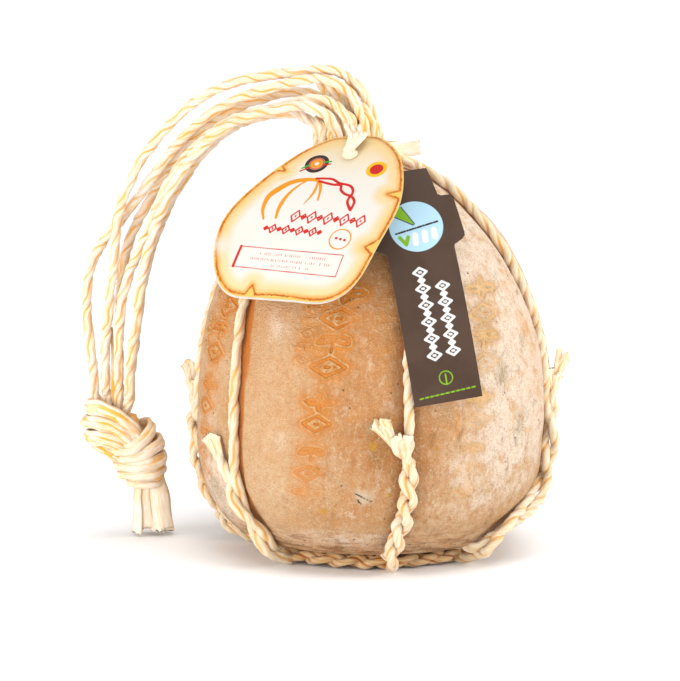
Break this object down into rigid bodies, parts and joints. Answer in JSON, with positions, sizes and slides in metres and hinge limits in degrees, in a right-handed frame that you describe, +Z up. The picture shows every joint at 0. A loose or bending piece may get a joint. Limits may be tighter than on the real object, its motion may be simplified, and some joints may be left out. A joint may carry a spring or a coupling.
{
  "type": "hanging provolone cheese in a raffia net",
  "caption": "Whole melon-shaped stretched-curd cheese on a flat base, tied in a net of twisted raffia cords that run on as a free bundle to a knotted fringe, with card tags at the neck.",
  "frame": {"origin": "middle of the flat face that the cheese stands on", "axes": "+Z up through the crown; front with the tags towards -Y; the free cords fall towards -X"},
  "size_m": [0.2428, 0.182, 0.2418],
  "materials": {
    "rind": "dry matured cheese rind, satin, mottled with mould bloom",
    "raffia": "twisted dry raffia fibre, matt with a faint sheen",
    "parchment_card": "printed card with scorched edges, satin",
    "brown_card": "printed card, satin"
  },
  "bodies": {
    "root": {"cheese": "rind", "base_ring": "raffia", "side_cord_1": "raffia", "side_cord_2": "raffia", "side_cord_3": "raffia", "side_cord_4": "raffia", "side_cord_5": "raffia", "side_cord_6": "raffia", "cord_neck": "raffia", "neck_tie": "raffia", "free_strand_1": "raffia", "free_strand_2": "raffia", "free_strand_3": "raffia", "free_strand_4": "raffia", "free_strand_5": "raffia", "free_strand_6": "raffia", "end_knot": "raffia", "fringe": "raffia", "parchment_tag": "parchment_card", "long_tag": "brown_card", "tag_tie": "raffia"}
  },
  "joints": []
}
